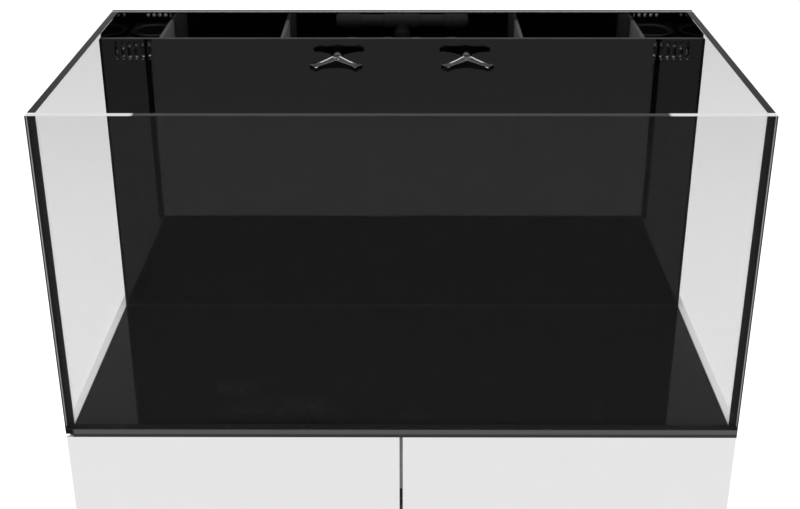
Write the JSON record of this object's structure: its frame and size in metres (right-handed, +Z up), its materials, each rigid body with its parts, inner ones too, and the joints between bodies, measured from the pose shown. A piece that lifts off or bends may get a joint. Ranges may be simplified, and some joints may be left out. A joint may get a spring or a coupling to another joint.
{
  "type": "aquarium on stand",
  "caption": "Frameless rectangular glass aquarium with a black rear filter section, overflow combs and return nozzles, standing on a white two-door cabinet.",
  "frame": {"origin": "on the floor under the middle of the cabinet and tank", "axes": "+X to the viewer's right, +Y from the doors to the back, +Z up"},
  "size_m": [0.9, 0.5, 1.305],
  "materials": {
    "clear_glass": "clear float glass with polished dark edges",
    "black_glass": "float glass with a black underside",
    "silicone": "clear glazing silicone",
    "black_silicone": "satin black silicone",
    "black_acrylic": "polished black sheet",
    "grey_acrylic": "satin dark sheet with sawn edges",
    "black_plastic": "moulded black plastic",
    "glossy_plastic": "gloss moulded black plastic",
    "felt": "needled polyester felt",
    "foam": "closed-cell foam sheet",
    "white_lacquer": "white lacquered board",
    "steel": "brushed stainless plate",
    "nylon": "moulded natural nylon"
  },
  "bodies": {
    "tank_and_cabinet": {"front_pane": "clear_glass", "left_pane": "clear_glass", "right_pane": "clear_glass", "rear_pane": "clear_glass", "bottom_pane": "black_glass", "pane_seals": "silicone", "weir_seal": "black_silicone", "wall_grommet_left": "black_silicone", "wall_grommet_right": "black_silicone", "weir_wall": "black_acrylic", "rear_liner": "black_acrylic", "side_liner_left": "black_acrylic", "side_liner_right": "black_acrylic", "baffle_left_outer": "grey_acrylic", "baffle_left_inner": "grey_acrylic", "baffle_right_outer": "grey_acrylic", "baffle_right_inner": "grey_acrylic", "return_tee": "black_plastic", "riser_pipe": "black_plastic", "return_pipe_left": "black_plastic", "return_pipe_right": "black_plastic", "return_elbow_left": "black_plastic", "return_elbow_right": "black_plastic", "sock_tray_left": "black_plastic", "sock_tray_right": "black_plastic", "pump_volute": "black_plastic", "pump_motor": "black_plastic", "pump_strainer": "black_plastic", "latch_body": "black_plastic", "levelling_mat": "foam", "cabinet_top": "white_lacquer", "cabinet_base": "white_lacquer", "cabinet_back": "white_lacquer", "front_rail": "white_lacquer", "cabinet_side_left": "white_lacquer", "cabinet_side_right": "white_lacquer", "pivot_bracket_top_left": "steel", "pivot_bracket_top_right": "steel", "pivot_bracket_bottom_left": "steel", "pivot_bracket_bottom_right": "steel"},
    "door_left": {"door_left": "white_lacquer", "pivot_bush_top_left": "nylon", "pivot_bush_bottom_left": "nylon"},
    "latch_plunger_left": {"latch_plunger_left": "black_plastic"},
    "nozzle_stem_left": {"nozzle_stem_left": "glossy_plastic"},
    "nozzle_head_left": {"nozzle_head_left": "glossy_plastic"},
    "sock_left": {"sock_ring_left": "black_plastic", "sock_bag_left": "felt"},
    "door_right": {"door_right": "white_lacquer", "pivot_bush_top_right": "nylon", "pivot_bush_bottom_right": "nylon"},
    "latch_plunger_right": {"latch_plunger_right": "black_plastic"},
    "nozzle_stem_right": {"nozzle_stem_right": "glossy_plastic"},
    "nozzle_head_right": {"nozzle_head_right": "glossy_plastic"},
    "sock_right": {"sock_ring_right": "black_plastic", "sock_bag_right": "felt"},
    "impeller": {"pump_impeller": "nylon"}
  },
  "joints": [
    {"name": "door_left_swing", "type": "hinge", "parent": "tank_and_cabinet", "child": "door_left", "pos_m": [-0.4426, -0.241, 0.425], "axis": [0, 0, -1], "range_deg": [0, 100]},
    {"name": "door_right_swing", "type": "hinge", "parent": "tank_and_cabinet", "child": "door_right", "pos_m": [0.4426, -0.241, 0.425], "axis": [0, 0, 1], "range_deg": [0, 100]},
    {"name": "latch_left_push", "type": "slide", "parent": "tank_and_cabinet", "child": "latch_plunger_left", "axis": [0, 1, 0], "range_m": [0, 0.003], "stiffness_N_per_m": 800, "springref_m": -0.002},
    {"name": "latch_right_push", "type": "slide", "parent": "tank_and_cabinet", "child": "latch_plunger_right", "axis": [0, 1, 0], "range_m": [0, 0.003], "stiffness_N_per_m": 800, "springref_m": -0.002},
    {"name": "nozzle_left_spin", "type": "hinge", "parent": "tank_and_cabinet", "child": "nozzle_stem_left", "pos_m": [-0.094, 0.083, 1.274], "axis": [0, 1, 0], "range_deg": [-180, 180]},
    {"name": "nozzle_left_tilt", "type": "hinge", "parent": "nozzle_stem_left", "child": "nozzle_head_left", "pos_m": [-0.094, 0.083, 1.274], "axis": [1, 0, 0], "range_deg": [-12, 12]},
    {"name": "nozzle_right_spin", "type": "hinge", "parent": "tank_and_cabinet", "child": "nozzle_stem_right", "pos_m": [0.094, 0.083, 1.274], "axis": [0, 1, 0], "range_deg": [-180, 180]},
    {"name": "nozzle_right_tilt", "type": "hinge", "parent": "nozzle_stem_right", "child": "nozzle_head_right", "pos_m": [0.094, 0.083, 1.274], "axis": [1, 0, 0], "range_deg": [-12, 12]},
    {"name": "sock_left_lift", "type": "slide", "parent": "tank_and_cabinet", "child": "sock_left", "axis": [0, 0, 1], "range_m": [0, 0.26]},
    {"name": "sock_right_lift", "type": "slide", "parent": "tank_and_cabinet", "child": "sock_right", "axis": [0, 0, 1], "range_m": [0, 0.26]},
    {"name": "impeller_spin", "type": "hinge", "parent": "tank_and_cabinet", "child": "impeller", "pos_m": [0, 0.165, 0.908], "axis": [1, 0, 0], "continuous": true}
  ]
}
